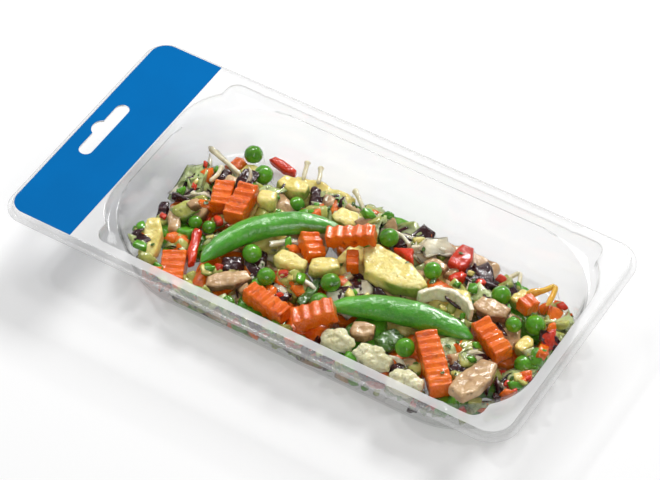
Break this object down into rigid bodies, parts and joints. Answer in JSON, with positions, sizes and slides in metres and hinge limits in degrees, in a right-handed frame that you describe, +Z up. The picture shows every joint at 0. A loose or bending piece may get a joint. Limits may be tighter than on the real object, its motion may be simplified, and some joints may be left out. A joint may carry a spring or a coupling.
{
  "type": "skin pack tray",
  "caption": "Clear thermoformed tray with a hanging header, filled with cut stir-fry vegetables under a clear skin film, with a plain blue panel on the header",
  "frame": {"origin": "middle of the underside, on the surface the tray stands on", "axes": "+X runs along the tray away from the hanging header, +Y across it, +Z up, out of the mouth"},
  "size_m": [0.232, 0.116, 0.0289],
  "materials": {
    "clear_plastic": "clear thermoformed plastic, smooth and glossy",
    "clear_film": "thin clear skin film, glossy, drawn down over the food",
    "blue_print": "plain blue print on the film",
    "sugar_snap": "green pod skin, moist",
    "squash": "yellow squash flesh, moist",
    "red_pepper": "red pepper, moist",
    "carrot": "orange carrot, cut with ridges, moist",
    "mushroom": "brown mushroom slice",
    "wood_ear": "dark wood ear fungus",
    "onion": "white onion petal",
    "leaf": "dark green leaf",
    "cauliflower": "cream floret",
    "pea": "green pea",
    "sprout": "pale bean sprout"
  },
  "bodies": {
    "root": {"bean_sprouts": "sprout", "carrot_1": "carrot", "carrot_10": "carrot", "carrot_11": "carrot", "carrot_2": "carrot", "carrot_3": "carrot", "carrot_4": "carrot", "carrot_5": "carrot", "carrot_6": "carrot", "carrot_7": "carrot", "carrot_8": "carrot", "carrot_9": "carrot", "cauliflower_1": "cauliflower", "cauliflower_2": "cauliflower", "cauliflower_3": "cauliflower", "header_label": "blue_print", "leaf_green_1": "leaf", "leaf_green_2": "leaf", "lower_carrots": "carrot", "lower_greens": "sugar_snap", "lower_mushrooms": "mushroom", "lower_squash": "squash", "mushroom_slice_1": "mushroom", "mushroom_slice_2": "mushroom", "mushroom_slice_3": "mushroom", "mushroom_slice_4": "mushroom", "mushroom_slice_5": "mushroom", "mushroom_slice_6": "mushroom", "onion_slice_1": "onion", "onion_slice_2": "onion", "onion_slice_3": "onion", "peas": "pea", "pod_back": "sugar_snap", "pod_front": "sugar_snap", "red_pepper_1": "red_pepper", "red_pepper_2": "red_pepper", "red_pepper_3": "red_pepper", "red_pepper_4": "red_pepper", "red_pepper_tip": "red_pepper", "skin_film": "clear_film", "squash_chunk_1": "squash", "squash_chunk_2": "squash", "squash_chunk_3": "squash", "squash_chunk_4": "squash", "squash_chunk_5": "squash", "squash_chunk_6": "squash", "squash_chunk_7": "squash", "squash_chunk_8": "squash", "squash_chunk_9": "squash", "squash_wedge": "squash", "tray": "clear_plastic", "wood_ear_1": "wood_ear", "wood_ear_2": "wood_ear", "wood_ear_3": "wood_ear", "wood_ear_4": "wood_ear", "wood_ear_5": "wood_ear", "wood_ear_strip_1": "wood_ear", "wood_ear_strip_2": "wood_ear"}
  },
  "joints": []
}
